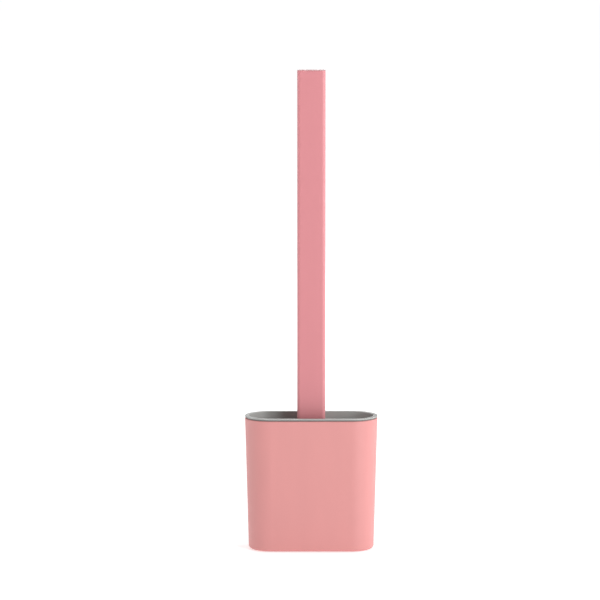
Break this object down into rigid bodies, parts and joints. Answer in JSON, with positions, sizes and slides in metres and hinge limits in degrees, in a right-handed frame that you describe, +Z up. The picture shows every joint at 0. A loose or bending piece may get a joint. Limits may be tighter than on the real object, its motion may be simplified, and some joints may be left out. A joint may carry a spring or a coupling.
{
  "type": "toilet brush holder",
  "caption": "Slim free-standing toilet brush holder: a drafted shell with round ends, a lift-out liner, and a flat bar-handled brush with a soft bristled head.",
  "frame": {"origin": "on the floor, under the middle of the holder, at the feet's underside", "axes": "+Z up along the brush handle, +X along the holder's long side, -Y the front"},
  "size_m": [0.1216, 0.048, 0.4412],
  "materials": {
    "shell_pink": "satin moulded polypropylene",
    "handle_pink": "satin moulded polypropylene",
    "liner_grey": "satin moulded polypropylene",
    "core_grey": "satin moulded polypropylene",
    "head_soft": "soft matte thermoplastic rubber",
    "foot_rubber": "matte rubber"
  },
  "bodies": {
    "holder": {"outer_shell": "shell_pink", "foot_front_left": "foot_rubber", "foot_front_right": "foot_rubber", "foot_back_left": "foot_rubber", "foot_back_right": "foot_rubber"},
    "liner": {"inner_liner": "liner_grey"},
    "brush": {"handle_tube": "handle_pink", "handle_plug": "handle_pink", "head_core": "core_grey", "brush_head": "head_soft"}
  },
  "joints": [
    {"name": "liner_lift", "type": "slide", "parent": "holder", "child": "liner", "axis": [0, 0, 1], "range_m": [0, 0.125]},
    {"name": "brush_lift", "type": "slide", "parent": "liner", "child": "brush", "axis": [0, 0, 1], "range_m": [0, 0.12]}
  ]
}
